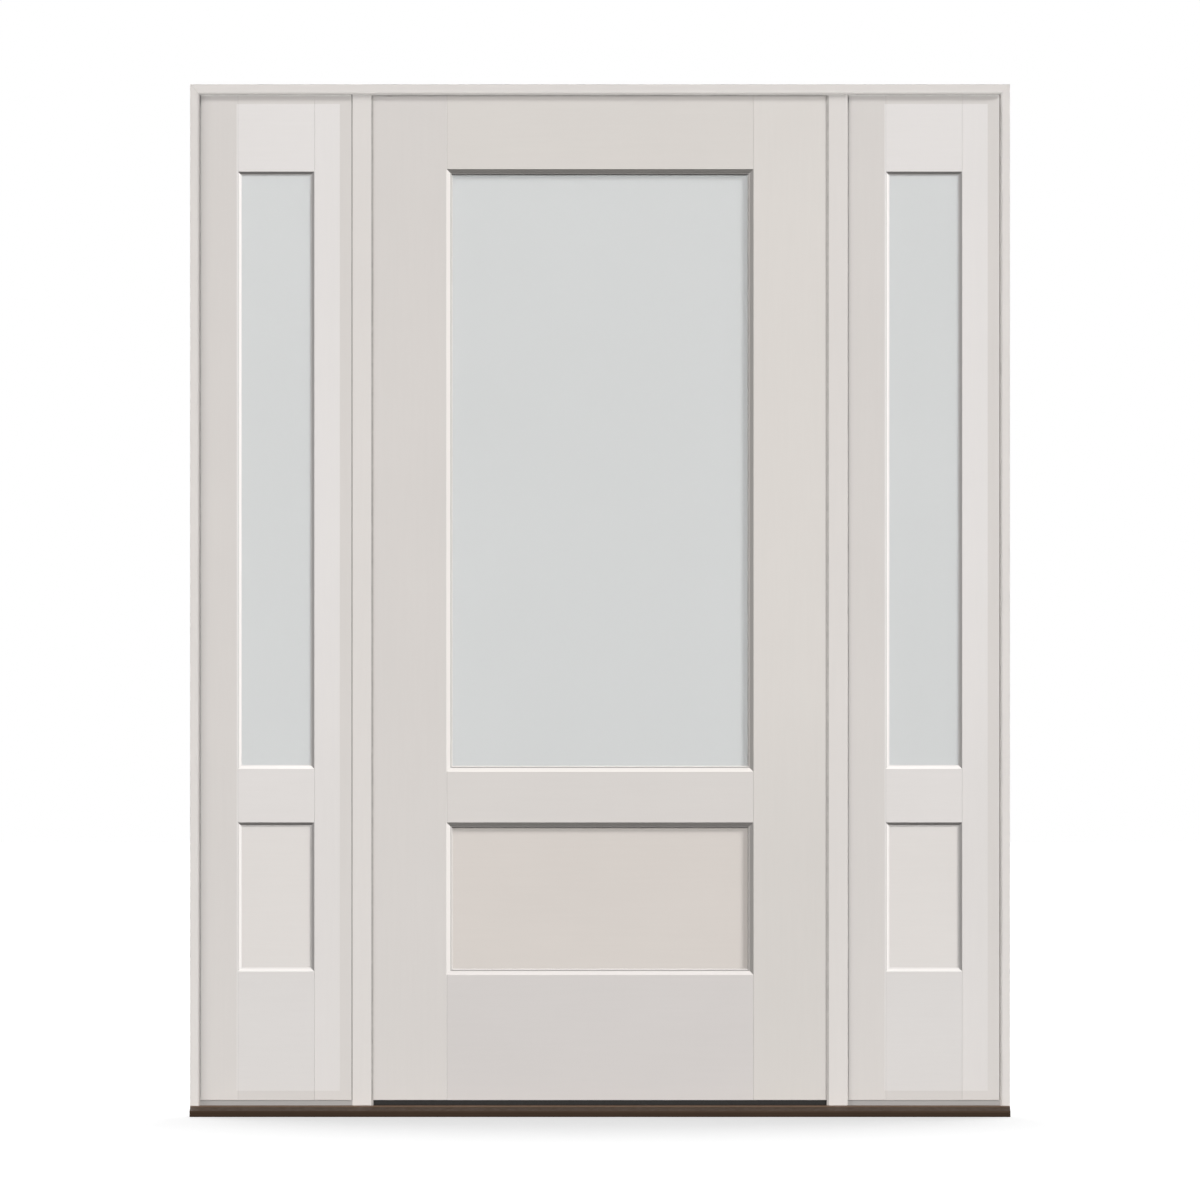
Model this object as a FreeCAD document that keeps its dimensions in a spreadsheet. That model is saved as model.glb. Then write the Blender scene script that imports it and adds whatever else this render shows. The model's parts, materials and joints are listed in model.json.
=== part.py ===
import FreeCAD, Part
import os
import Sketcher

# Entry door with two fixed sidelights in one painted frame, in millimetres.
# X runs to the right seen from outside, Y into the building and Z up.
# The origin is on the underside of the sill, midway along it, in the plane of the frame's outer face.

SIZES = {
    # Frame
    "jamb_face": 19,
    "mull_face": 38,
    "head_face": 20,
    "door_opening": 914,
    "sidelight_opening": 305,
    "opening_height": 2021,
    "face_recess": 13,
    "mull_recess": 6.5,
    "stop_depth": 10.5,
    "inner_rounding": 6,
    # Sill
    "sill_height": 21,
    "sill_nose": 40,
    "nose_height": 12,
    "nose_radius": 4,
    "deck_wall": 2.5,
    "cap_width": 20,
    "cap_thickness": 6,
    # Leaves, and how the door sits in its rabbet
    "leaf_thickness": 44,
    "leaf_overlap": 6,
    "leaf_gap": 6,
    "leaf_bottom_gap": 11,
    "lock_bevel": 2.5,
    # Door stiles, rails and the moulding stuck on their inner edges
    "door_stile": 156,
    "door_top_rail": 155,
    "door_mid_rail": 101,
    "door_bottom_rail": 250,
    "door_panel_height": 305,
    "door_bevel_width": 8,
    "door_bevel_depth": 6.5,
    "door_step": 2,
    "door_sticking_width": 12,
    "door_sticking_depth": 18,
    # Sidelight stiles, rails and moulding
    "sidelight_stile": 74,
    "sidelight_top_rail": 152,
    "sidelight_mid_rail": 107,
    "sidelight_bottom_rail": 257,
    "sidelight_panel_height": 298,
    "sidelight_bevel_width": 6,
    "sidelight_bevel_depth": 6,
    "sidelight_step": 1,
    "sidelight_sticking_width": 7.5,
    "sidelight_sticking_depth": 7,
    # Glass, panels and the beads that hold them from inside
    "sticking_land": 2,
    "rebate": 16,
    "glass_thickness": 18,
    "panel_thickness": 14,
    "pane_clearance": 2,
    "bead_edge": 3,
    "mitre_gap": 0.3,
    # Seals
    "strip_show": 4,
    "head_strip_show": 2,
    "seal_clearance": 1,
    "sidelight_seal": 2,
    "seal_setback": 5,
    "base_setback": 3,
    "sweep_setback": 1.5,
    "sweep_carrier": 4,
    "sweep_fin": 3,
    # Hinges
    "hinge_height": 100,
    "hinge_width": 36,
    "hinge_plate_gap": 1,
    "barrel_radius": 5.5,
    "barrel_clearance": 1.5,
    "pin_radius": 3,
    "pin_clearance": 0.05,
    "pin_head_radius": 4.5,
    "pin_head_height": 3,
    "pin_head_chamfer": 1,
    "knuckle_gap": 0.3,
    "top_hinge_offset": 200,
    "bottom_hinge_offset": 255,
}

# Places that follow from the sizes. A side is measured from the middle of the door.
PLACES = {
    "frame_depth": "Size.face_recess + Size.leaf_thickness",
    "door_side": "Size.door_opening / 2",
    "rabbet": "Size.leaf_overlap + Size.leaf_gap",
    "rabbet_side": "door_side + rabbet",
    "leaf_side": "door_side + Size.leaf_overlap",
    "mull_side": "door_side + Size.mull_face",
    "sidelight_side": "mull_side + Size.sidelight_opening",
    "frame_side": "sidelight_side + Size.jamb_face",
    "head_bottom": "Size.sill_height + Size.opening_height",
    "head_top": "head_bottom + Size.head_face",
    "leaf_bottom": "Size.sill_height + Size.leaf_bottom_gap",
    "leaf_top": "head_bottom + Size.leaf_overlap",
    "cap_front": "frame_depth - Size.cap_width",
    "deck_underside": "Size.sill_height - Size.deck_wall",
    "cap_underside": "Size.sill_height - Size.cap_thickness",
    "nose_inside": "Size.deck_wall - Size.sill_nose",
    "nose_underside": "Size.nose_height - Size.deck_wall",
    "strip_thickness": "Size.face_recess - Size.stop_depth - Size.seal_clearance",
    "strip_head": "head_bottom - Size.head_strip_show",
    "seal_depth": "Size.leaf_thickness - 2 * Size.seal_setback",
    "sidelight_width": "Size.sidelight_opening - 2 * Size.sidelight_seal",
    "sidelight_top": "head_bottom - Size.sidelight_seal",
    "hinge_plate": "(Size.leaf_gap - Size.hinge_plate_gap) / 2",
    "hinge_axis_side": "leaf_side + Size.leaf_gap / 2",
    "hinge_axis_depth": "frame_depth + Size.barrel_radius + Size.barrel_clearance",
    "bore_radius": "Size.pin_radius + Size.pin_clearance",
    "top_hinge": "leaf_top - Size.top_hinge_offset - Size.hinge_height / 2",
    "bottom_hinge": "leaf_bottom + Size.bottom_hinge_offset - Size.hinge_height / 2",
    "middle_hinge": "(top_hinge + bottom_hinge) / 2",
}

KNUCKLES = 5
SWEEP_FINS = 3
X, Y, Z = FreeCAD.Vector(1, 0, 0), FreeCAD.Vector(0, 1, 0), FreeCAD.Vector(0, 0, 1)
UPRIGHT = FreeCAD.Rotation()
FLIPPED = FreeCAD.Rotation(-X, Y, -Z, "XYZ")

doc = FreeCAD.newDocument("DoorWithSidelights")
nodes = []


def fill_sheet(name, cells):
    """A sheet with one named cell a row."""
    sheet = doc.addObject("Spreadsheet::Sheet", name)
    for row, (alias, content) in enumerate(cells, start=1):
        sheet.set(f"A{row}", alias)
        sheet.set(f"B{row}", content)
        sheet.setAlias(f"B{row}", alias)
    doc.recompute()
    return sheet


sizes = fill_sheet("Size", [(alias, str(number)) for alias, number in SIZES.items()])
places = fill_sheet("Place", [(alias, "=" + formula) for alias, formula in PLACES.items()])


def bind(item, **expressions):
    for name, expression in expressions.items():
        item.setExpression(name, expression)
    return item


def put(item, corner, rotation=UPRIGHT):
    """Turns an object, then sets its own origin at a corner given as three expressions."""
    item.Placement = FreeCAD.Placement(FreeCAD.Vector(), rotation)
    for axis, expression in zip("xyz", corner):
        item.setExpression("Placement.Base." + axis, expression)
    return item


def keep(item, label):
    """Marks an object as a finished sub-part; its label names its file."""
    item.Label = label
    nodes.append(item)
    return item


def box(name, corner, extent):
    item = doc.addObject("Part::Box", name)
    bind(item, Length=extent[0], Width=extent[1], Height=extent[2])
    return put(item, corner)


def cylinder(name, corner, radius, height):
    item = doc.addObject("Part::Cylinder", name)
    bind(item, Radius=radius, Height=height)
    return put(item, corner)


def cut(name, base, tool):
    item = doc.addObject("Part::Cut", name)
    item.Base = base
    item.Tool = tool
    return item


def fuse(name, items):
    item = doc.addObject("Part::MultiFuse", name)
    item.Shapes = items
    return item


def gather(name, items):
    item = doc.addObject("Part::Compound", name)
    item.Links = items
    return item


def outline(body, plane, points):
    """A closed outline on one of the body's own planes, through points given as pairs of expressions."""
    sketch = body.newObject("Sketcher::SketchObject", body.Name + "_outline")
    support = next(f for f in body.Origin.OriginFeatures if f.Role == plane)
    sketch.AttachmentSupport = (support, [""])
    sketch.MapMode = "FlatFace"
    corners = [FreeCAD.Vector(*[float(sizes.evalExpression(e)) for e in pair], 0) for pair in points]
    for i, corner in enumerate(corners):
        sketch.addGeometry(Part.LineSegment(corner, corners[(i + 1) % len(corners)]), False)
    for i, (pair, corner) in enumerate(zip(points, corners)):
        sketch.addConstraint(Sketcher.Constraint("Coincident", i, 2, (i + 1) % len(points), 1))
        for kind, axis, expression, value in zip(("DistanceX", "DistanceY"), (-2, -1), pair, corner):
            if expression == "0":
                sketch.addConstraint(Sketcher.Constraint("PointOnObject", i, 1, axis))
            else:
                index = sketch.addConstraint(Sketcher.Constraint(kind, -1, 1, i, 1, value))
                sketch.setExpression(f"Constraints[{index}]", expression)
    return sketch


def extrusion(name, plane, points, length):
    """A body padded from an outline: up from XY_Plane, to the right from YZ_Plane, inward from XZ_Plane."""
    body = doc.addObject("PartDesign::Body", name)
    sketch = outline(body, plane, points)
    pad = body.newObject("PartDesign::Pad", name + "_pad")
    pad.Profile = sketch
    pad.Reversed = plane == "XZ_Plane"
    pad.setExpression("Length", length)
    sketch.Visibility = False
    return body


def edge_at(feature, point):
    """Name of the straight edge whose middle is nearest to a point."""
    middles = [edge.CenterOfMass.distanceToPoint(point) for edge in feature.Shape.Edges]
    return f"Edge{middles.index(min(middles)) + 1}"


def round_edge(body, point, radius):
    """Rounds the edge of a body whose middle is nearest to a point."""
    doc.recompute()
    plain = body.Tip
    rounding = body.newObject("PartDesign::Fillet", body.Name + "_rounding")
    rounding.Base = (plain, [edge_at(plain, point)])
    rounding.setExpression("Radius", radius)
    body.Tip = rounding
    return body


def jamb(name, side):
    """A jamb mitred under the head, with its inner edge rounded. The side is a minus sign or nothing."""
    outer, inner = f"{side}Place.frame_side", f"{side}Place.sidelight_side"
    face = [
        (outer, "Size.sill_height"),
        (inner, "Size.sill_height"),
        (inner, "Place.head_bottom"),
        (outer, "Place.head_top"),
    ]
    body = extrusion(name, "XZ_Plane", face, "Place.frame_depth")
    middle = (sizes.sill_height + places.head_bottom) / 2
    round_edge(body, FreeCAD.Vector(float(sizes.evalExpression(inner)), 0, middle), "Size.inner_rounding")
    return keep(body, name)


def make_frame():
    post_height = "Size.opening_height"
    depth = "Place.frame_depth"
    jamb("left_jamb", "-")
    jamb("right_jamb", "")

    # A mull post stands a little behind the jambs' face and is rabbeted on its door side, behind the stop.
    mull = [
        ("0", "Size.mull_recess"),
        ("Size.mull_face", "Size.mull_recess"),
        ("Size.mull_face", "Size.stop_depth"),
        ("Size.mull_face - Place.rabbet", "Size.stop_depth"),
        ("Size.mull_face - Place.rabbet", depth),
        ("0", depth),
    ]
    left_mull = extrusion("left_mull_post", "XY_Plane", mull, post_height)
    right_mull = extrusion("right_mull_post", "XY_Plane", mull, post_height)
    put(left_mull, ("-Place.mull_side", "0", "Size.sill_height"))
    put(right_mull, ("Place.mull_side", "0", "Place.head_bottom"), FLIPPED)
    keep(left_mull, "left_mull_post")
    keep(right_mull, "right_mull_post")

    head = [
        ("-Place.frame_side", "Place.head_top"),
        ("-Place.sidelight_side", "Place.head_bottom"),
        ("Place.sidelight_side", "Place.head_bottom"),
        ("Place.frame_side", "Place.head_top"),
    ]
    bar = extrusion("head_bar", "XZ_Plane", head, depth)
    round_edge(bar, Z * places.head_bottom, "Size.inner_rounding")
    rabbet = box(
        "head_rabbet",
        ("-Place.rabbet_side", "Size.stop_depth", "Place.head_bottom"),
        ("2 * Place.rabbet_side", depth + " - Size.stop_depth", "Place.rabbet"),
    )
    keep(cut("head_jamb", bar, rabbet), "head_jamb")


def make_sill():
    """A bronze deck wrapped over a core, with a cap along the inside."""
    width = "2 * Place.frame_side"
    underside = [
        ("Place.nose_inside", "0"),
        ("Place.nose_inside", "Place.nose_underside"),
        ("0", "Place.deck_underside"),
        ("Place.cap_front", "Place.deck_underside"),
    ]
    upper = [
        ("Place.cap_front", "Size.sill_height"),
        ("0", "Size.sill_height"),
        ("-Size.sill_nose", "Size.nose_height"),
        ("-Size.sill_nose", "0"),
    ]
    deck = extrusion("sill_deck", "YZ_Plane", underside + upper, width)
    nose = FreeCAD.Vector(places.frame_side, -sizes.sill_nose, sizes.nose_height)
    round_edge(deck, nose, "Size.nose_radius")
    put(deck, ("-Place.frame_side", "0", "0"))
    keep(deck, "sill_deck")

    cap_seat = [
        ("Place.cap_front", "Place.cap_underside"),
        ("Place.frame_depth", "Place.cap_underside"),
        ("Place.frame_depth", "0"),
    ]
    core = extrusion("sill_core", "YZ_Plane", underside + cap_seat, width)
    put(core, ("-Place.frame_side", "0", "0"))
    keep(core, "sill_core")
    cap = box(
        "threshold_cap",
        ("-Place.frame_side", "Place.cap_front", "Place.cap_underside"),
        (width, "Size.cap_width", "Size.cap_thickness"),
    )
    keep(cap, "threshold_cap")


def moulded_edge(kind, edge, outward, inward):
    """Points across and into a leaf along an edge: bevel, step, quirk and rebate, from face to back."""
    size = f"Size.{kind}_"
    tip = f"{edge} {outward} {size}sticking_width"
    wall = f"{tip} {inward} Size.rebate"
    seat = f"{size}sticking_depth + Size.sticking_land"
    return [
        (edge, "0"),
        (f"{edge} {outward} {size}bevel_width", f"{size}bevel_depth"),
        (f"{edge} {outward} ({size}bevel_width + {size}step)", f"{size}bevel_depth"),
        (tip, f"{size}sticking_depth"),
        (tip, seat),
        (wall, seat),
        (wall, "Size.leaf_thickness"),
    ]


def stile(name, kind, length, outer_bevel="0"):
    """An upright with a plain outer edge and a moulded inner one."""
    edge = moulded_edge(kind, f"Size.{kind}_stile", "+", "-")
    section = [(outer_bevel, "0"), *edge, ("0", "Size.leaf_thickness")]
    return extrusion(name, "XY_Plane", section, length)


def end_rail(name, kind, width, length):
    """A rail at the bottom of a leaf, or turned over at its top."""
    edge = moulded_edge(kind, width, "+", "-")
    section = [("0", "0"), *edge, ("0", "Size.leaf_thickness")]
    return extrusion(name, "YZ_Plane", [(depth, across) for across, depth in section], length)


def mid_rail(name, kind, length):
    """A rail moulded on both edges."""
    upper = moulded_edge(kind, f"Size.{kind}_mid_rail", "+", "-")
    lower = moulded_edge(kind, "0", "-", "+")
    section = upper + lower[::-1]
    return extrusion(name, "YZ_Plane", [(depth, across) for across, depth in section], length)


def make_beads(name, low, high, thickness):
    """Four mitred beads with a sloped face, round an opening given by two corners in X and Z."""
    width = f"({high[0]}) - ({low[0]})"
    height = f"({high[1]}) - ({low[1]})"
    sides = [
        ("bottom", width, low[0], low[1], X, Z),
        ("top", width, high[0], high[1], -X, -Z),
        ("left", height, low[0], high[1], -Z, X),
        ("right", height, high[0], low[1], Z, -X),
    ]
    beads = []
    for side, length, start_x, start_z, along, inward in sides:
        bead = doc.addObject("Part::Wedge", f"{name}_{side}")
        bind(
            bead,
            Xmin="Size.mitre_gap",
            Xmax=f"{length} - Size.mitre_gap",
            X2min="Size.mitre_gap + Size.rebate",
            X2max=f"{length} - Size.mitre_gap - Size.rebate",
            Ymin="0",
            Ymax="Size.rebate",
            Zmin="0",
            Zmax=thickness,
            Z2min=f"{thickness} - Size.bead_edge",
            Z2max=thickness,
        )
        turned = FreeCAD.Rotation(along, inward, -Y, "XYZ")
        put(bead, (start_x, "Place.frame_depth", start_z), turned)
        beads.append(bead)
    return keep(gather(name, beads), name)


def make_leaf(name, kind, left, bottom, width, height, lock_bevel="0"):
    """Stiles run the full height, with rails coped over their moulding. Glass and panel seat behind it."""
    front = "Size.face_recess"
    stick = f"Size.{kind}_sticking_width"
    opening_edge = f"Size.{kind}_stile + {stick} - Size.rebate"
    right = f"{left} + {width}"
    top = f"{bottom} + {height}"

    left_stile = stile(f"{name}_left_stile", kind, height)
    right_stile = stile(f"{name}_right_stile", kind, height, lock_bevel)
    put(left_stile, (left, front, bottom))
    put(right_stile, (right, front, top), FLIPPED)
    keep(left_stile, f"{name}_left_stile")
    keep(right_stile, f"{name}_right_stile")
    stiles = gather(f"{name}_stiles", [left_stile, right_stile])

    # Rails reach to the stiles' rebates, then lose what the stiles take up.
    inner_left = f"{left} + {opening_edge}"
    inner_right = f"{right} - ({opening_edge})"
    rail_length = f"{width} - 2 * ({opening_edge})"
    panel_low = f"{bottom} + Size.{kind}_bottom_rail"
    panel_high = f"{panel_low} + Size.{kind}_panel_height"
    glass_low = f"{panel_high} + Size.{kind}_mid_rail"
    glass_high = f"{top} - Size.{kind}_top_rail"
    blanks = {
        "bottom_rail": end_rail(f"{name}_bottom_blank", kind, f"Size.{kind}_bottom_rail", rail_length),
        "mid_rail": mid_rail(f"{name}_mid_blank", kind, rail_length),
        "top_rail": end_rail(f"{name}_top_blank", kind, f"Size.{kind}_top_rail", rail_length),
    }
    put(blanks["bottom_rail"], (inner_left, front, bottom))
    put(blanks["mid_rail"], (inner_left, front, panel_high))
    put(blanks["top_rail"], (inner_right, front, top), FLIPPED)
    for rail, blank in blanks.items():
        keep(cut(f"{name}_{rail}", blank, stiles), f"{name}_{rail}")

    seat = f"Size.{kind}_sticking_depth + Size.sticking_land"
    for pane, low, high in (("glass", glass_low, glass_high), ("panel", panel_low, panel_high)):
        thickness = f"Size.{pane}_thickness"
        low_corner = (inner_left, f"{low} + {stick} - Size.rebate")
        high_corner = (inner_right, f"{high} - {stick} + Size.rebate")
        left_edge, low_edge = (f"{edge} + Size.pane_clearance" for edge in low_corner)
        pane_width = f"{rail_length} - 2 * Size.pane_clearance"
        pane_height = f"{high_corner[1]} - ({low_corner[1]}) - 2 * Size.pane_clearance"
        sheet = box(
            f"{name}_{pane}",
            (left_edge, f"{front} + {seat}", low_edge),
            (pane_width, thickness, pane_height),
        )
        keep(sheet, f"{name}_{pane}")
        bead_thickness = f"Size.leaf_thickness - ({seat}) - {thickness}"
        make_beads(f"{name}_{pane}_beads", low_corner, high_corner, bead_thickness)


def make_sidelight_fittings(name, opening_left):
    """The strip that the sidelight stands on, and the seal round its other three sides."""
    depth_start = "Size.face_recess + Size.seal_setback"
    base = box(
        f"{name}_base",
        (opening_left, "Size.face_recess + Size.base_setback", "Size.sill_height"),
        ("Size.sidelight_opening", "Size.leaf_thickness - Size.base_setback", "Size.leaf_bottom_gap"),
    )
    keep(base, f"{name}_base")
    side_height = "Place.sidelight_top - Place.leaf_bottom - Size.mitre_gap"
    side = ("Size.sidelight_seal", "Place.seal_depth", side_height)
    far_side = f"{opening_left} + Size.sidelight_opening - Size.sidelight_seal"
    strips = [
        box(f"{name}_seal_left", (opening_left, depth_start, "Place.leaf_bottom"), side),
        box(f"{name}_seal_right", (far_side, depth_start, "Place.leaf_bottom"), side),
        box(
            f"{name}_seal_top",
            (opening_left, depth_start, "Place.sidelight_top"),
            ("Size.sidelight_opening", "Place.seal_depth", "Size.sidelight_seal"),
        ),
    ]
    keep(gather(f"{name}_seal", strips), f"{name}_seal")


def make_weatherstrip():
    """Strips on the back of the stop. They end a seal clearance short of the closed door."""
    width = "Place.rabbet + Size.strip_show"
    upright = (width, "Place.strip_thickness", "Place.strip_head - Size.sill_height - Size.mitre_gap")
    right_strip = "Place.door_side - Size.strip_show"
    strips = [
        box("strip_left", ("-Place.rabbet_side", "Size.stop_depth", "Size.sill_height"), upright),
        box("strip_right", (right_strip, "Size.stop_depth", "Size.sill_height"), upright),
        box(
            "strip_top",
            ("-Place.rabbet_side", "Size.stop_depth", "Place.strip_head"),
            ("2 * Place.rabbet_side", "Place.strip_thickness", "Place.rabbet + Size.head_strip_show"),
        ),
    ]
    keep(gather("weatherstrip", strips), "weatherstrip")


def make_sweep():
    """A carrier under the door with fins that hang almost to the sill."""
    depth = "Size.leaf_thickness - 2 * Size.sweep_setback"
    pitch = f"({depth} - Size.sweep_fin) / {SWEEP_FINS - 1}"
    drop = "Size.leaf_bottom_gap - Size.seal_clearance"
    root = f"{drop} - Size.sweep_carrier"
    section = []
    for fin in range(SWEEP_FINS):
        near = f"{fin} * {pitch}" if fin else "0"
        far = f"{near} + Size.sweep_fin"
        section += [(near, root), (near, "0"), (far, "0"), (far, root)]
    section = section[1:-1] + [(depth, drop), ("0", drop)]
    width = "2 * (Place.leaf_side - Size.lock_bevel)"
    sweep = extrusion("door_sweep", "YZ_Plane", section, width)
    left = "Size.lock_bevel - Place.leaf_side"
    put(sweep, (left, "Size.face_recess + Size.sweep_setback", "Size.sill_height + Size.seal_clearance"))
    keep(sweep, "door_sweep")


def hinge_leaf(name, base, plate_left, own_knuckles):
    """A plate in the gap, with tabs that wrap into every other knuckle round the pin."""
    axis = ("-Place.hinge_axis_side", "Place.hinge_axis_depth")
    knuckle = f"(Size.hinge_height - {KNUCKLES - 1} * Size.knuckle_gap) / {KNUCKLES}"
    plate_back = "Place.frame_depth - Size.hinge_width"
    plate_extent = ("Place.hinge_plate", "Size.hinge_width", "Size.hinge_height")
    pieces = [box(f"{name}_plate", (plate_left, plate_back, base), plate_extent)]
    for i in own_knuckles:
        start = f"{base} + {i} * ({knuckle} + Size.knuckle_gap)"
        tab = box(
            f"{name}_tab_{i}",
            (plate_left, "Place.frame_depth", start),
            ("Place.hinge_plate", "Place.hinge_axis_depth - Place.frame_depth", knuckle),
        )
        barrel = cylinder(f"{name}_barrel_{i}", (*axis, start), "Size.barrel_radius", knuckle)
        pieces += [tab, barrel]
    bore = cylinder(f"{name}_bore", (*axis, base), "Place.bore_radius", "Size.hinge_height")
    return cut(name, fuse(f"{name}_blank", pieces), bore)


def hinge_pin(name, base):
    """A pin whose button head rests on the top knuckle."""
    head_top = "Size.hinge_height + Size.pin_head_height"
    half_section = [
        ("0", "0"),
        ("Size.pin_radius", "0"),
        ("Size.pin_radius", "Size.hinge_height"),
        ("Size.pin_head_radius", "Size.hinge_height"),
        ("Size.pin_head_radius", head_top + " - Size.pin_head_chamfer"),
        ("Size.pin_head_radius - Size.pin_head_chamfer", head_top),
        ("0", head_top),
    ]
    body = doc.addObject("PartDesign::Body", name)
    sketch = outline(body, "XZ_Plane", half_section)
    turning = body.newObject("PartDesign::Revolution", name + "_turning")
    turning.Profile = sketch
    turning.ReferenceAxis = (sketch, ["V_Axis"])
    sketch.Visibility = False
    return put(body, ("-Place.hinge_axis_side", "Place.hinge_axis_depth", base))


def make_hinges():
    heights = ("top", "middle", "bottom")
    jamb_plate = "-Place.rabbet_side"
    door_plate = "-Place.leaf_side - Place.hinge_plate"
    fixed, moving = range(0, KNUCKLES, 2), range(1, KNUCKLES, 2)
    base = {height: f"Place.{height}_hinge" for height in heights}
    jamb_leaves = [hinge_leaf(f"{h}_hinge_jamb_leaf", base[h], jamb_plate, fixed) for h in heights]
    door_leaves = [hinge_leaf(f"{h}_hinge_door_leaf", base[h], door_plate, moving) for h in heights]
    pins = [hinge_pin(f"{h}_hinge_pin", base[h]) for h in heights]
    keep(gather("hinge_jamb_leaves", jamb_leaves), "hinge_jamb_leaves")
    keep(gather("hinge_door_leaves", door_leaves), "hinge_door_leaves")
    keep(gather("hinge_pins", pins), "hinge_pins")


def check_and_write():
    doc.recompute()
    failed = [o.Name for o in doc.Objects if {"Invalid", "Error"} & set(o.State)]
    failed += [n.Label for n in nodes if n.Shape.isNull() or not n.Shape.isValid() or not n.Shape.Solids]
    if failed:
        raise RuntimeError("these objects failed: " + ", ".join(failed))
    os.makedirs("parts", exist_ok=True)
    for node in nodes:
        node.Shape.exportStep(f"parts/{node.Label}.step")


make_frame()
make_sill()
make_leaf(
    "door",
    "door",
    "-Place.leaf_side",
    "Place.leaf_bottom",
    "2 * Place.leaf_side",
    "(Place.leaf_top - Place.leaf_bottom)",
    "Size.lock_bevel",
)
OPENINGS = {"left_sidelight": "-Place.sidelight_side", "right_sidelight": "Place.mull_side"}
for sidelight, opening_left in OPENINGS.items():
    make_leaf(
        sidelight,
        "sidelight",
        f"{opening_left} + Size.sidelight_seal",
        "Place.leaf_bottom",
        "Place.sidelight_width",
        "(Place.sidelight_top - Place.leaf_bottom)",
    )
    make_sidelight_fittings(sidelight, opening_left)
make_weatherstrip()
make_sweep()
make_hinges()
check_and_write()
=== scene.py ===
"""Looks of the entry door with two sidelights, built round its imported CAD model."""

import json
import math

import bmesh
import bpy
from mathutils import Matrix, Vector


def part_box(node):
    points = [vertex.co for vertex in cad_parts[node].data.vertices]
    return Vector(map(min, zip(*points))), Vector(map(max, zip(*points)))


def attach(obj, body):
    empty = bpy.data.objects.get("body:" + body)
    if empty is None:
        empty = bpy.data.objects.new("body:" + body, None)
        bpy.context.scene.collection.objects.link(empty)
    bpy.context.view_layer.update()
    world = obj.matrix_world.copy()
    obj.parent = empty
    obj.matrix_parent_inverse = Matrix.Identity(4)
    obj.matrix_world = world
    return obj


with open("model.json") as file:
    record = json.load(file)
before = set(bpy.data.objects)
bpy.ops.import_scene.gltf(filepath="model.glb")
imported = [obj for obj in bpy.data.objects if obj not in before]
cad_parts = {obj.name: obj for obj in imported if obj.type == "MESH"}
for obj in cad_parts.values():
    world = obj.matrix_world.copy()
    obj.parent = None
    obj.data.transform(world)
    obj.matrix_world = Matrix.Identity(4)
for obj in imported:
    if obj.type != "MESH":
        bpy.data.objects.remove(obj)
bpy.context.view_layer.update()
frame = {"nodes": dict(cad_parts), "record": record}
nodes = frame["nodes"]
scene = bpy.context.scene

SIDELIGHTS = ("left_sidelight", "right_sidelight")
LEAVES = ("door", *SIDELIGHTS)
UPRIGHTS = ("left_stile", "right_stile")
RAILS = ("top_rail", "mid_rail", "bottom_rail")
BEADS = ("glass_beads", "panel_beads")
JAMBS = ("left_jamb", "right_jamb")
MULLS = ("left_mull_post", "right_mull_post")
HINGES = ("hinge_jamb_leaves", "hinge_door_leaves", "hinge_pins")
WHITE = (1, 1, 1, 1)


# Tools for materials


def linear(*srgb):
    """A linear RGBA colour from sRGB numbers out of 255, by the curve of the sRGB standard."""
    channels = []
    for number in srgb:
        c = number / 255
        channels.append(c / 12.92 if c <= 0.04045 else ((c + 0.055) / 1.055) ** 2.4)
    return (*channels, 1.0)


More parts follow.
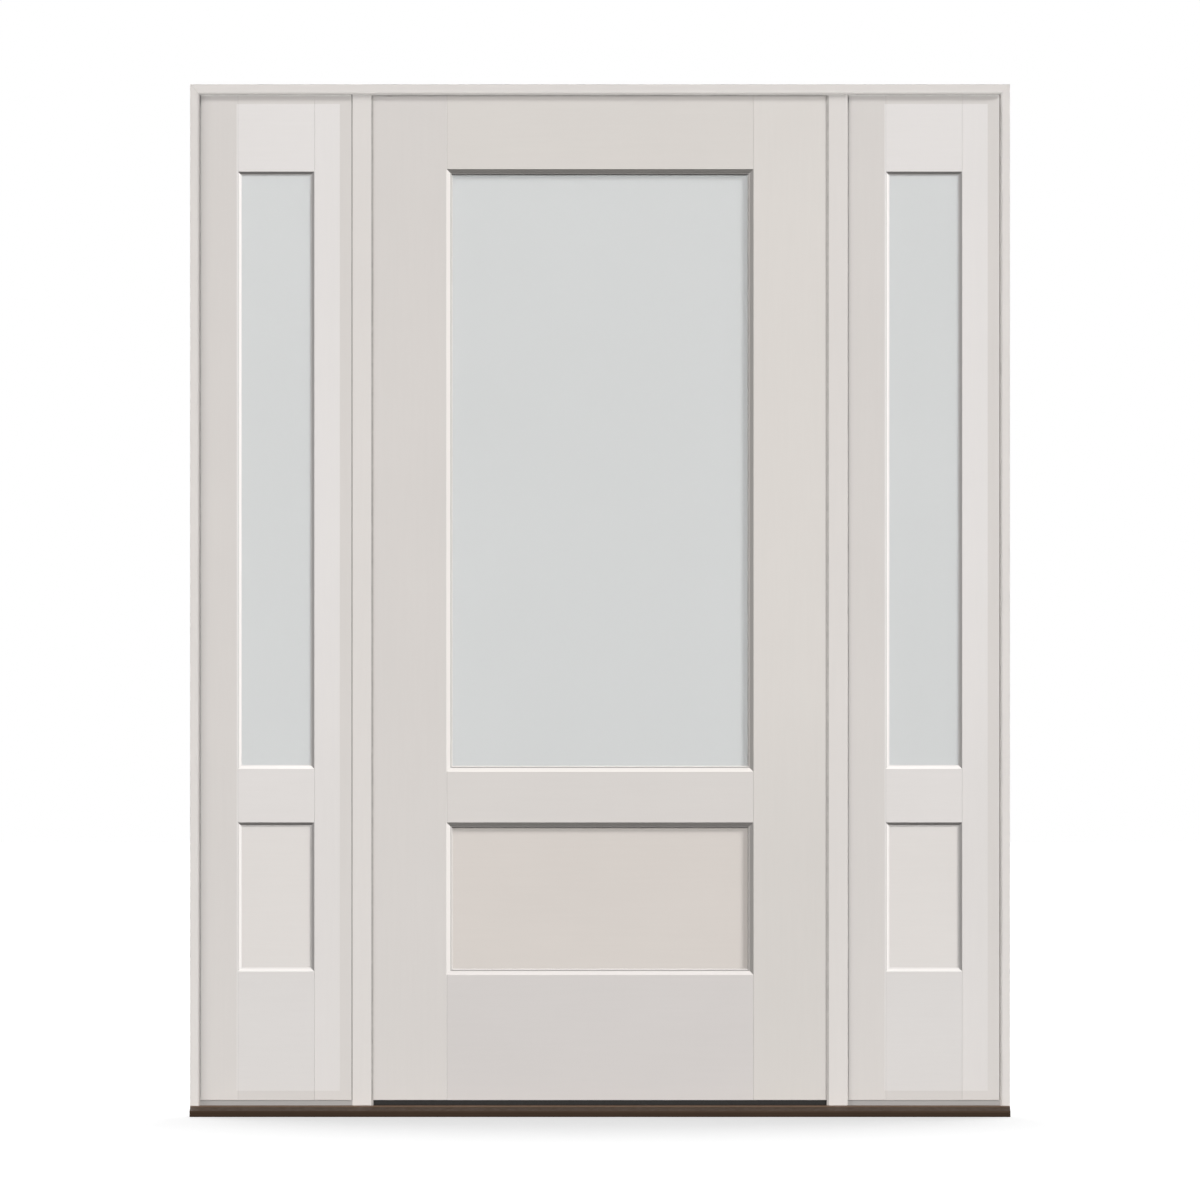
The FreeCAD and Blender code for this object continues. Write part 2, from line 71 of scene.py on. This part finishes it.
class Look:
    """A material, with short ways to add and join its nodes."""

    def __init__(self, name):
        self.material = bpy.data.materials.new(name)
        self.material.use_nodes = True
        self.tree = self.material.node_tree
        self.shader = self.tree.nodes["Principled BSDF"]
        self.place = self.add("ShaderNodeTexCoord").outputs["Object"]
        self.normal = None

    def add(self, kind, **settings):
        """Adds a node of a kind and gives it its settings."""
        node = self.tree.nodes.new(kind)
        for name, value in settings.items():
            setattr(node, name, value)
        return node

    def join(self, output, socket):
        """Links an output to an input socket."""
        self.tree.links.new(output, socket)

    def set(self, **numbers):
        """Sets constants on the shader's sockets, with _ for each space in a socket's name."""
        for name, value in numbers.items():
            self.shader.inputs[name.replace("_", " ")].default_value = value

    def noise(self, scale, detail=3.0, stretch=(1, 1, 1)):
        """Noise of so many waves a metre, drawn out by a stretch on each axis."""
        mapping = self.add("ShaderNodeMapping")
        mapping.inputs["Scale"].default_value = [scale / s for s in stretch]
        self.join(self.place, mapping.inputs["Vector"])
        noise = self.add("ShaderNodeTexNoise")
        noise.inputs["Scale"].default_value = 1.0
        noise.inputs["Detail"].default_value = detail
        self.join(mapping.outputs["Vector"], noise.inputs["Vector"])
        return noise.outputs["Fac"]

    def spread(self, value, low, high, start=0.3, end=0.7):
        """Maps a value from start...end, by default where most noise lies, to low...high."""
        node = self.add("ShaderNodeMapRange")
        for name, number in (("From Min", start), ("From Max", end), ("To Min", low), ("To Max", high)):
            node.inputs[name].default_value = number
        self.join(value, node.inputs["Value"])
        return node.outputs["Result"]

    def math(self, operation, first, second):
        """The result of an operation on two values, each a number or an output."""
        node = self.add("ShaderNodeMath", operation=operation)
        for socket, value in zip(node.inputs, (first, second)):
            if isinstance(value, (int, float)):
                socket.default_value = value
            else:
                self.join(value, socket)
        return node.outputs["Value"]

    def scaled(self, colour, factor):
        """A colour times a factor that varies over the surface."""
        scale = self.add("ShaderNodeVectorMath", operation="SCALE")
        if isinstance(colour, tuple):
            scale.inputs[0].default_value = colour[:3]
        else:
            self.join(colour, scale.inputs[0])
        self.join(factor, scale.inputs["Scale"])
        return scale.outputs["Vector"]

    def lifted(self, colour, addition):
        """A colour plus a colour that varies over the surface."""
        total = self.add("ShaderNodeVectorMath", operation="ADD")
        total.inputs[0].default_value = colour[:3]
        self.join(addition, total.inputs[1])
        return total.outputs["Vector"]

    def tint(self, colour, factor):
        """Colours the surface by a colour times a factor."""
        self.join(self.scaled(colour, factor), self.shader.inputs["Base Color"])

    def roughen(self, value, low, high):
        """Varies the roughness from low to high with a noise."""
        self.join(self.spread(value, low, high), self.shader.inputs["Roughness"])

    def bump(self, height, depth, strength):
        """Lays a bump, with its depth in metres, over those laid before."""
        node = self.add("ShaderNodeBump")
        node.inputs["Distance"].default_value = depth
        node.inputs["Strength"].default_value = strength
        self.join(height, node.inputs["Height"])
        if self.normal:
            self.join(self.normal, node.inputs["Normal"])
        self.normal = node.outputs["Normal"]
        self.join(self.normal, self.shader.inputs["Normal"])

    def along(self, axis):
        """The place along an axis, in metres."""
        split = self.add("ShaderNodeSeparateXYZ")
        self.join(self.place, split.inputs[0])
        return split.outputs[axis]

    def inside(self, axis, low, high, blur):
        """1 between two planes across an axis, 0 outside, with a blurred edge."""
        above = self.spread(self.along(axis), 0, 1, low - blur, low + blur)
        below = self.spread(self.along(axis), 1, 0, high - blur, high + blur)
        return self.math("MULTIPLY", above, below)

    def within(self, low, high, blur):
        """1 in a box, 0 outside, with a blurred edge."""
        share = self.inside("X", low.x, high.x, blur)
        for axis, start, end in (("Y", low.y, high.y), ("Z", low.z, high.z)):
            share = self.math("MULTIPLY", share, self.inside(axis, start, end, blur))
        return share


# Tones, in sRGB out of 255

LEAF_TONE = (215, 210, 206)
TONES = {
    "door": {
        "left_stile": LEAF_TONE,
        "right_stile": (219.5, 214.5, 209.5),
        "top_rail": (217, 212, 207),
        "mid_rail": (216, 211, 207),
        "bottom_rail": (211, 206, 203),
        "panel": (215, 208, 202),
    },
    "sidelight": {
        "left_stile": LEAF_TONE,
        "right_stile": LEAF_TONE,
        "top_rail": LEAF_TONE,
        "mid_rail": LEAF_TONE,
        "bottom_rail": (211, 206.4, 202.5),
        "panel": (215.7, 210.3, 205.4),
    },
}
FRAME_TONE = (222, 217, 213)
GLASS_TONE = (221.5, 223, 222.5)
DECK_TONE = (65, 51, 40)
CORE_TONE = (124, 117, 108)
CAP_TONE = (72, 60, 52)
BASE_TONE = (178, 175.5, 173.5)
# The sidelight seal is painted light on most runs and painted shade on its right run.
SEAL_LIT_TONE, SEAL_SHADED_TONE = (226, 222, 218), (132, 128, 124)
# The weatherstrip's head run is painted light.
STRIP_TONE, STRIP_HEAD_LIT_TONE = (180, 175, 171), (232, 227, 223)
SWEEP_TONE = (29, 27, 25)
STEEL_TONE = (196, 192, 186)


# Places where a tone changes, in metres

LINE_BLUR = 0.0002

# The lighter coat on the outside of each sidelight. Its sides are measured from those of the sidelight's
# base and its heights from the ground. The lift is linear RGB, and its gain grows between two heights.
FIELD_LEFT, FIELD_RIGHT = 0.0736, 0.025
FIELD_BOTTOM, FIELD_TOP = 0.0505, 2.023
FIELD_DEPTH, FIELD_BLUR = 0.025, 0.0008
FIELD_LIFT = (0.089, 0.093, 0.102)
FIELD_GAIN, FIELD_GAIN_HEIGHTS = (0.62, 1.04), (0.53, 1.1)

# Painted shade in the quirk of the door's moulding, at depths from the leaf's face, with the share of the
# tone that is left at the foot and at the top of a stile or rail.
DOOR_MOULDING = 0.012
QUIRK_START, QUIRK_END = 0.0062, 0.0078
STILE_QUIRK, RAIL_QUIRK = (0.74, 0.74), (0.33, 0.62)

# Painted shade in the joints at the left ends of the door's rails.
JOINT_WIDTH, JOINT_SHADE_TONE = 0.0014, 0.7

# Painted shade on the outer edge of each sidelight's left stile moulding, given in the same way as the
# quirk.
SIDELIGHT_MOULDING = 0.008
EDGE_START, EDGE_END = 0.0002, 0.0026
EDGE_TONES = (0.70, 0.70)

# Painted shade at the foot of the door's right stile, and the heights between which it fades out.
FOOT_SHADE_TONE, FOOT_HEIGHTS = 0.945, (0.45, 1.0)

# The painted highlight on the sill's deck, from just before the door inwards, and the depths where it
# starts.
DECK_HIGHLIGHT_GAIN, DECK_HIGHLIGHT_DEPTHS = 2.6, (-0.010, -0.007)

# How far below the head the weatherstrip's lighter run starts: painted light where the head shades it.
STRIP_HEAD_DROP = 0.0022


# Materials

GRAIN_ALONG = {"x": (22, 1, 1), "z": (1, 1, 22)}
FRAME_RELIEF = 0.35


def paint(name, tone, grain, field=None, painted_shade=None, joint=None, shaded_foot=False, relief=1.0):
    """Satin paint over close-grained wood, with its relief as a share of the usual one.

    A field is a box where the coat is lighter. A painted shade is a box, two heights and the shares of
    the tone that are left there. A joint is the place where a line of painted shade at the left end stops.
    A shaded foot is painted shade that fades out upwards.
    """
    made = Look(name)
    stretch = GRAIN_ALONG[grain]
    mottle = made.spread(made.noise(scale=3.1, detail=4), low=0.988, high=1.012)
    streak = made.spread(made.noise(scale=190, detail=5, stretch=stretch), low=0.994, high=1.006)
    factor = made.math("MULTIPLY", mottle, streak)
    colour = linear(*tone)
    if field:
        gain = made.spread(made.along("Z"), *FIELD_GAIN, *FIELD_GAIN_HEIGHTS)
        gain = made.math("MULTIPLY", gain, made.within(*field, FIELD_BLUR))
        colour = made.lifted(colour, made.scaled(FIELD_LIFT, gain))
    if painted_shade:
        low, high, heights, (foot_tone, top_tone) = painted_shade
        # Painted shade: darker inside the box, changing between two heights.
        shade = made.spread(made.along("Z"), 1 - foot_tone, 1 - top_tone, *heights)
        shade = made.math("MULTIPLY", shade, made.within(low, high, LINE_BLUR))
        factor = made.math("MULTIPLY", factor, made.math("SUBTRACT", 1, shade))
    if shaded_foot:
        # Painted shade: darker towards the bottom.
        foot = made.spread(made.along("Z"), FOOT_SHADE_TONE, 1, *FOOT_HEIGHTS)
        factor = made.math("MULTIPLY", factor, foot)
    if joint is not None:
        # Painted shade: a dark line at the joint.
        line = made.spread(made.along("X"), JOINT_SHADE_TONE, 1, joint - LINE_BLUR, joint + LINE_BLUR)
        factor = made.math("MULTIPLY", factor, line)
    made.tint(colour, factor)
    made.roughen(made.noise(scale=55, detail=3), low=0.44, high=0.54)
    made.bump(made.noise(scale=240, detail=6, stretch=stretch), depth=0.0003, strength=0.10 * relief)
    made.bump(made.noise(scale=1300, detail=2), depth=0.00008, strength=0.12 * relief)
    made.set(Specular_IOR_Level=0.3)
    return made.material


def frosted_glass(name, tone):
    """Satin-etched glass: pale and even, with a fine etched surface."""
    made = Look(name)
    made.tint(linear(*tone), made.spread(made.noise(scale=2.0, detail=2), low=0.992, high=1.008))
    made.roughen(made.noise(scale=700, detail=2), low=0.30, high=0.42)
    made.bump(made.noise(scale=2100, detail=3), depth=0.00006, strength=0.2)
    made.set(IOR=1.5, Transmission_Weight=0.2)
    return made.material


def anodised(name, tone, variation, painted_highlight=False):
    """Anodised aluminium with the fine lines of its extrusion. With a painted highlight it is lighter
    further in.
    """
    made = Look(name)
    lines = made.noise(scale=900, detail=3, stretch=(300, 1, 1))
    line_factor = made.spread(lines, 1 - variation, 1 + variation)
    clouds = made.noise(scale=9, detail=4)
    cloud_factor = made.spread(clouds, 1 - variation / 2, 1 + variation / 2)
    factor = made.math("MULTIPLY", line_factor, cloud_factor)
    if painted_highlight:
        # Painted highlight: lighter towards the door.
        highlight = made.spread(made.along("Y"), 1, DECK_HIGHLIGHT_GAIN, *DECK_HIGHLIGHT_DEPTHS)
        factor = made.math("MULTIPLY", factor, highlight)
    made.tint(linear(*tone), factor)
    made.roughen(made.noise(scale=70, detail=4), low=0.52, high=0.64)
    made.bump(lines, depth=0.0001, strength=0.25)
    made.set(Metallic=0.3, Specular_IOR_Level=0.1)
    return made.material


def rubber(name, tone, change=None):
    """Extruded seal with a dull, slightly pitted skin.

    A change is an axis, a place on it and the tone from there on, used for painted light and painted
    shade.
    """
    made = Look(name)
    colour = linear(*tone)
    if change:
        axis, start, other_tone = change
        step = tuple(b - a for a, b in zip(colour, linear(*other_tone)))
        share = made.spread(made.along(axis), 0, 1, start - LINE_BLUR, start + LINE_BLUR)
        colour = made.lifted(colour, made.scaled(step, share))
    made.tint(colour, made.spread(made.noise(scale=60, detail=4), low=0.9, high=1.1))
    made.roughen(made.noise(scale=300, detail=3), low=0.6, high=0.8)
    made.bump(made.noise(scale=1500, detail=3), depth=0.00015, strength=0.35)
    return made.material


def composite(name, tone, fleck):
    """Wood-fibre composite: flecked and matt."""
    made = Look(name)
    flecks = made.noise(scale=420, detail=5, stretch=(6, 1, 1))
    made.tint(linear(*tone), made.spread(flecks, 1 - fleck, 1 + fleck))
    made.roughen(made.noise(scale=200, detail=3), low=0.6, high=0.8)
    made.bump(made.noise(scale=800, detail=4, stretch=(5, 1, 1)), depth=0.0002, strength=0.3)
    return made.material


def brushed_steel(name, tone):
    """Satin-plated steel, brushed along its length."""
    made = Look(name)
    brushing = made.noise(scale=2600, detail=3, stretch=(1, 1, 60))
    made.tint(linear(*tone), made.spread(brushing, low=0.93, high=1.07))
    made.roughen(brushing, low=0.26, high=0.42)
    made.bump(brushing, depth=0.00005, strength=0.2)
    made.set(Metallic=1.0)
    return made.material


# Coats, and painted shade, that set some parts apart


def lighter_field(leaf):
    """The box of the lighter coat on a sidelight."""
    low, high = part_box(f"{leaf}_base")
    return (
        Vector((low.x + FIELD_LEFT, low.y - FIELD_DEPTH, FIELD_BOTTOM)),
        Vector((high.x - FIELD_RIGHT, low.y + FIELD_DEPTH, FIELD_TOP)),
    )


def shaded_quirk(leaf, part):
    """Painted shade in the quirks round a leaf's glass and panel: its box, the part's heights and tones.
    """
    low_corner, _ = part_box(f"{leaf}_right_stile")
    left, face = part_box(f"{leaf}_left_stile")[1].x, low_corner.y
    bottom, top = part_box(f"{leaf}_bottom_rail")[1].z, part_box(f"{leaf}_top_rail")[0].z
    part_low, part_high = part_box(f"{leaf}_{part}")
    return (
        Vector((left - DOOR_MOULDING, face + QUIRK_START, bottom - DOOR_MOULDING)),
        Vector((low_corner.x + DOOR_MOULDING, face + QUIRK_END, top + DOOR_MOULDING)),
        (part_low.z, part_high.z),
        STILE_QUIRK if part in UPRIGHTS else RAIL_QUIRK,
    )


def shaded_edge(leaf):
    """Painted shade on the outer edge of a left stile's moulding: its box, the stile's heights and tones.
    """
    low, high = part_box(f"{leaf}_left_stile")
    return (
        Vector((high.x - SIDELIGHT_MOULDING, low.y + EDGE_START, low.z)),
        Vector((high.x, low.y + EDGE_END, high.z)),
        (low.z, high.z),
        EDGE_TONES,
    )


def joint_shade_line(leaf):
    """The end of the line of painted shade where a leaf's rails lap its left stile."""
    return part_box(f"{leaf}_left_stile")[1].x - DOOR_MOULDING + JOINT_WIDTH


def coats(leaf, part):
    """What sets the paint of a leaf's part apart, by the names that paint() has for it."""
    if leaf in SIDELIGHTS:
        return {
            "field": lighter_field(leaf),
            "painted_shade": shaded_edge(leaf) if part == "left_stile" else None,
        }
    return {
        "painted_shade": shaded_quirk(leaf, part) if part != "panel" else None,
        "joint": joint_shade_line(leaf) if part in RAILS else None,
        "shaded_foot": part == "right_stile",
    }


# Each node's material


def wear(node, material):
    """Gives a CAD node its one material."""
    nodes[node].data.materials.clear()
    nodes[node].data.materials.append(material)


glass = frosted_glass("etched_glass", GLASS_TONE)
bead_paint = {axis: paint(f"bead_paint_{axis}", LEAF_TONE, axis) for axis in GRAIN_ALONG}
for leaf in LEAVES:
    kind = leaf.split("_")[-1]
    for part, tone in TONES[kind].items():
        grain = "z" if part in UPRIGHTS else "x"
        wear(f"{leaf}_{part}", paint(f"{leaf}_{part}_paint", tone, grain, **coats(leaf, part)))
    for part in BEADS:
        wear(f"{leaf}_{part}", bead_paint["z" if part == "glass_beads" else "x"])
    wear(f"{leaf}_glass", glass)

upright_paint = paint("frame_paint_upright", FRAME_TONE, "z", relief=FRAME_RELIEF)
for node in (*JAMBS, *MULLS):
    wear(node, upright_paint)
wear("head_jamb", paint("frame_paint_head", FRAME_TONE, "x", relief=FRAME_RELIEF))
wear("sill_deck", anodised("bronze_anodised", DECK_TONE, variation=0.1, painted_highlight=True))
wear("sill_core", composite("sill_composite", CORE_TONE, fleck=0.16))
wear("threshold_cap", composite("cap_composite", CAP_TONE, fleck=0.12))
mill_grey = anodised("mill_grey", BASE_TONE, variation=0.03)
for leaf in SIDELIGHTS:
    wear(f"{leaf}_base", mill_grey)
    right_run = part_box(f"{leaf}_right_stile")[1].x
    # Painted light on the seal's runs, painted shade on its right run.
    wear(f"{leaf}_seal", rubber(f"{leaf}_seal_skin", SEAL_LIT_TONE, ("X", right_run, SEAL_SHADED_TONE)))
head_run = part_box("head_jamb")[0].z - STRIP_HEAD_DROP
wear("weatherstrip", rubber("weatherstrip_skin", STRIP_TONE, ("Z", head_run, STRIP_HEAD_LIT_TONE)))
wear("door_sweep", rubber("black_rubber", SWEEP_TONE))
steel = brushed_steel("satin_steel", STEEL_TONE)
for node in HINGES:
    wear(node, steel)


# Eased edges, with widths in metres

EASING = {"frame": 0.0005, "mull": 0.001, "joint": 0.0012, "leaf": 0.0005, "metal": 0.0005}
EASING_SEGMENTS = 4

# Corners this close are one, and so are faces this flat to each other. Edges past SHARP are eased. Edges
# past FEATHER that lie this near the outer face are those where a rail laps a stile.
TOUCHING = 0.00001
COPLANAR = math.radians(1)
SHARP, FEATHER = math.radians(25), math.radians(100)
FACE_DEPTH = 0.0001
JOINT_WEIGHT = "bevel_weight_edge"


def joint_marker(name, face):
    """Node group that gives a bevel weight to the feather edges on an outer face."""
    group = bpy.data.node_groups.new(name, "GeometryNodeTree")
    for side in ("INPUT", "OUTPUT"):
        group.interface.new_socket("Geometry", in_out=side, socket_type="NodeSocketGeometry")
    add, join = group.nodes.new, group.links.new

    def compare(operation, value, limit):
        node = add("ShaderNodeMath")
        node.operation = operation
        node.inputs[1].default_value = limit
        join(value, node.inputs[0])
        return node.outputs["Value"]

    def product(first, second):
        node = add("ShaderNodeMath")
        node.operation = "MULTIPLY"
        join(first, node.inputs[0])
        join(second, node.inputs[1])
        return node.outputs["Value"]

    ends = add("GeometryNodeInputMeshEdgeVertices")
    angle = add("GeometryNodeInputMeshEdgeAngle")
    weight = compare("GREATER_THAN", angle.outputs["Unsigned Angle"], FEATHER)
    for end in ("Position 1", "Position 2"):
        split = add("ShaderNodeSeparateXYZ")
        join(ends.outputs[end], split.inputs[0])
        weight = product(weight, compare("LESS_THAN", split.outputs["Y"], face + FACE_DEPTH))
    store = add("GeometryNodeStoreNamedAttribute")
    store.data_type = "FLOAT"
    store.domain = "EDGE"
    store.inputs["Name"].default_value = JOINT_WEIGHT
    join(add("NodeGroupInput").outputs["Geometry"], store.inputs["Geometry"])
    join(weight, store.inputs["Value"])
    join(store.outputs["Geometry"], add("NodeGroupOutput").inputs["Geometry"])
    return group


def bevel(item, name, width):
    """Adds a rounding bevel, whose limit the caller sets."""
    modifier = item.modifiers.new(name, "BEVEL")
    modifier.width = width
    modifier.segments = EASING_SEGMENTS
    modifier.use_clamp_overlap = True
    return modifier


def ease(node, width, joints=None):
    """Rounds a solid's sharp edges a little, as sanding and paint do, and those of its joints by more."""
    item = nodes[node]
    weld = item.modifiers.new("weld", "WELD")
    weld.merge_threshold = TOUCHING
    flat = item.modifiers.new("flat", "DECIMATE")
    flat.decimate_type = "DISSOLVE"
    flat.angle_limit = COPLANAR
    if joints:
        item.modifiers.new("joints", "NODES").node_group = joints
        joint_easing = bevel(item, "joint_easing", EASING["joint"])
        joint_easing.limit_method = "WEIGHT"
        joint_easing.edge_weight = JOINT_WEIGHT
    easing = bevel(item, "easing", width)
    easing.limit_method = "ANGLE"
    easing.angle_limit = SHARP


for node in (*JAMBS, "head_jamb"):
    ease(node, EASING["frame"])
for node in MULLS:
    ease(node, EASING["mull"])
for leaf in LEAVES:
    joints = joint_marker(f"{leaf}_joints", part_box(f"{leaf}_right_stile")[0].y)
    for part in (*UPRIGHTS, *BEADS):
        ease(f"{leaf}_{part}", EASING["leaf"])
    for part in RAILS:
        ease(f"{leaf}_{part}", EASING["leaf"], joints)
for leaf in SIDELIGHTS:
    ease(f"{leaf}_base", EASING["metal"])
for node in ("threshold_cap", "sill_deck", "door_sweep", "weatherstrip"):
    ease(node, EASING["metal"])


# Hinge screws, with sizes in metres and places as shares of a hinge leaf's height and width

SCREW_RADIUS, SCREW_STAND, SCREW_SLANT = 0.0039, 0.00035, 0.0003
RECESS_LENGTH, RECESS_WIDTH, RECESS_DEPTH = 0.0022, 0.00055, 0.0003
RIM_STEPS = 40
SCREW_ROWS = (0.18, 0.5, 0.82)
SCREW_COLUMNS = (0.67, 0.33, 0.67)
HINGE_HEIGHT, HINGE_WIDTH, PLATE_GAP = 0.1, 0.036, 0.001
hinge_line = frame["record"]["behaviour"]["joints"][0]["pos_m"][0]


def screw_head(mesh, place, facing):
    """Adds a countersunk head with a cross recess, its face turned to +x or -x."""
    turn = Matrix.Rotation(facing * math.pi / 2, 4, "Y")

    def ring(points, height):
        return [mesh.verts.new(place + turn @ Vector((x, y, height))) for x, y in points]

    def circle(radius):
        steps = [2 * math.pi * i / RIM_STEPS for i in range(RIM_STEPS)]
        return [(radius * math.cos(a), radius * math.sin(a)) for a in steps]

    def wall(low, high):
        for i in range(len(low)):
            mesh.faces.new((low[i - 1], low[i], high[i], high[i - 1]))

    def edges(loop):
        return [mesh.edges.get((loop[i - 1], loop[i])) for i in range(len(loop))]

    w, h = RECESS_WIDTH, RECESS_LENGTH
    cross = [
        (w, w), (w, h), (-w, h), (-w, w), (-h, w), (-h, -w),
        (-w, -w), (-w, -h), (w, -h), (w, -w), (h, -w), (h, w),
    ]
    foot = ring(circle(SCREW_RADIUS), 0.0)
    rim = ring(circle(SCREW_RADIUS - SCREW_SLANT), SCREW_STAND)
    lip = ring(cross, SCREW_STAND)
    pit = ring(cross, SCREW_STAND - RECESS_DEPTH)
    wall(foot, rim)
    wall(lip, pit)
    mesh.faces.new(pit)
    bmesh.ops.triangle_fill(mesh, edges=[*edges(rim), *edges(lip)], use_beauty=True)


def piece_from(name, mesh, body, material):
    """Makes a finished piece of a mesh that rides on a body."""
    bmesh.ops.recalc_face_normals(mesh, faces=mesh.faces)
    data = bpy.data.meshes.new(name)
    mesh.to_mesh(data)
    mesh.free()
    piece = bpy.data.objects.new(name, data)
    scene.collection.objects.link(piece)
    data.materials.append(material)
    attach(piece, body)


def hinge_screws(name, leaves, body, facing):
    """Three screws in each leaf of a node's hinges, on the face that shows when the door is open."""
    low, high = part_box(leaves)
    last = high.z - HINGE_HEIGHT
    mesh = bmesh.new()
    for bottom in (low.z, (low.z + last) / 2, last):
        for row, column in zip(SCREW_ROWS, SCREW_COLUMNS):
            across = low.y + column * HINGE_WIDTH
            place = Vector((hinge_line - facing * PLATE_GAP / 2, across, bottom + row * HINGE_HEIGHT))
            screw_head(mesh, place, facing)
    piece_from(name, mesh, body, steel)


hinge_screws("hinge_jamb_screws", "hinge_jamb_leaves", "frame", 1)
hinge_screws("hinge_door_screws", "hinge_door_leaves", "door", -1)


# Camera: square on, from far off, so that the view is almost flat

PIXELS = 1200
METRES_A_PIXEL = 0.001998
SILL_BOTTOM_PIXEL = 1116.3
LENS, SENSOR = 400.0, 36.0
CLIP_END = 100.0
view_width = PIXELS * METRES_A_PIXEL
camera_height = (SILL_BOTTOM_PIXEL - PIXELS / 2) * METRES_A_PIXEL
camera_data = bpy.data.cameras.new("camera")
camera_data.lens = LENS
camera_data.sensor_width = SENSOR
camera_data.clip_end = CLIP_END
camera = bpy.data.objects.new("camera", camera_data)
scene.collection.objects.link(camera)
camera.location = (0, -view_width * LENS / SENSOR, camera_height)
camera.rotation_euler = (math.pi / 2, 0, 0)
scene.camera = camera


# Stage: a pale floor with a soft light of its own

FLOOR_SIZE = 60.0
FLOOR_TONE, FLOOR_GLOW = (205, 205, 205), 0.62
bpy.ops.mesh.primitive_plane_add(size=FLOOR_SIZE)
floor = bpy.context.object
floor.name = "floor"
floor_look = Look("floor")
floor_look.tint(linear(*FLOOR_TONE), floor_look.spread(floor_look.noise(scale=1.5), low=0.99, high=1.01))
floor_look.set(Roughness=0.9, Specular_IOR_Level=0.0)
floor_look.set(Emission_Color=WHITE, Emission_Strength=FLOOR_GLOW)
floor.data.materials.append(floor_look.material)
floor.visible_diffuse = False
floor.visible_glossy = False
floor.visible_transmission = False
floor.visible_shadow = False


# Light: a dim surround, and suns that are tied to groups of pieces, because the photo's shadows disagree

AMBIENT, AMBIENT_FLOOR = 0.08, 0.02
AMBIENT_SLOPE = Vector((0.04, 0.0, 0.08))

# Each sun: the direction towards it, its strength, and its spread in degrees.
KEY = ((0.61, -0.64, 0.467), 1.77, 22)
WASH = ((0.6, -0.5, 0.62), 2.07, 12)
OPEN_WASH = ((0.93, -0.24, 0.24), 0.78, 30)
MULL_WASH = ((0.0, -0.447, 0.894), 2.26, 24)
FRAME_WASH = ((0.25, -0.9, -0.35), 2.5, 30)
LEFT_FILL = ((-0.75, -0.6, 0.45), 0.95, 26)
BACK_FILL = ((-0.35, 0.85, 0.45), 3.0, 60)
FLOOR_LIGHT = ((0.0, 0.42, 0.75), 2.6, 50)


def make_world():
    """White where the camera looks past the object, and as light a slope from high right to low left."""
    world = bpy.data.worlds.new("studio")
    scene.world = world
    world.use_nodes = True
    tree = world.node_tree
    tree.nodes.clear()
    add, join = tree.nodes.new, tree.links.new
    slope = add("ShaderNodeVectorMath")
    slope.operation = "DOT_PRODUCT"
    slope.inputs[1].default_value = AMBIENT_SLOPE
    join(add("ShaderNodeTexCoord").outputs["Generated"], slope.inputs[0])
    level = add("ShaderNodeMath")
    level.operation = "ADD"
    level.inputs[1].default_value = AMBIENT
    join(slope.outputs["Value"], level.inputs[0])
    kept = add("ShaderNodeMath")
    kept.operation = "MAXIMUM"
    kept.inputs[1].default_value = AMBIENT_FLOOR
    join(level.outputs["Value"], kept.inputs[0])
    light = add("ShaderNodeBackground")
    join(kept.outputs["Value"], light.inputs["Strength"])
    white = add("ShaderNodeBackground")
    mix = add("ShaderNodeMixShader")
    join(add("ShaderNodeLightPath").outputs["Is Camera Ray"], mix.inputs["Fac"])
    join(light.outputs["Background"], mix.inputs[1])
    join(white.outputs["Background"], mix.inputs[2])
    for node in (light, white):
        node.inputs["Color"].default_value = WHITE
    join(mix.outputs["Shader"], add("ShaderNodeOutputWorld").inputs["Surface"])


def link(light, purpose, state, members):
    """Includes or excludes members among what a light falls on (receiver) or is shaded by (blocker)."""
    group = bpy.data.collections.new(f"{light.name}_{purpose}")
    for member in members:
        group.objects.link(member)
    for entry in group.collection_objects:
        entry.light_linking.link_state = state
    setattr(light.light_linking, f"{purpose}_collection", group)


def sun(name, rays, blocker=None, receiver=None, shadow=True):
    """Adds a sun. A blocker and a receiver are each a state and members, as link() takes them."""
    towards, strength, spread = rays
    data = bpy.data.lights.new(name, "SUN")
    data.energy = strength
    data.angle = math.radians(spread)
    data.use_shadow = shadow
    item = bpy.data.objects.new(name, data)
    item.rotation_euler = (-Vector(towards)).to_track_quat("-Z", "Y").to_euler()
    scene.collection.objects.link(item)
    if blocker:
        link(item, "blocker", *blocker)
    if receiver:
        link(item, "receiver", *receiver)


make_world()
head = nodes["head_jamb"]
jambs = [nodes[name] for name in JAMBS]
mulls = [nodes[name] for name in MULLS]
for leaf in LEAVES:
    for part in (*UPRIGHTS, *RAILS, *BEADS, "glass", "panel"):
        nodes[f"{leaf}_{part}"].visible_diffuse = False
for member in (*jambs, *mulls, head):
    member.visible_diffuse = False
sun("key", KEY, ("EXCLUDE", [*jambs, *mulls, head]), ("EXCLUDE", [*jambs, head, floor]))
sun("wash", WASH, ("INCLUDE", [head]), ("EXCLUDE", [*jambs, *mulls, head, floor]))
sun("open_wash", OPEN_WASH, receiver=("EXCLUDE", [*jambs, head, floor]), shadow=False)
sun("mull_wash", MULL_WASH, ("INCLUDE", [head]), ("INCLUDE", mulls))
sun("frame_wash", FRAME_WASH, receiver=("INCLUDE", [*jambs, head]), shadow=False)
sun("left_fill", LEFT_FILL, ("INCLUDE", [*jambs, *mulls]), ("EXCLUDE", [floor]))
sun("back_fill", BACK_FILL, receiver=("EXCLUDE", [floor]))
sun("floor_light", FLOOR_LIGHT, receiver=("INCLUDE", [floor]))
scene.view_settings.view_transform = "Standard"
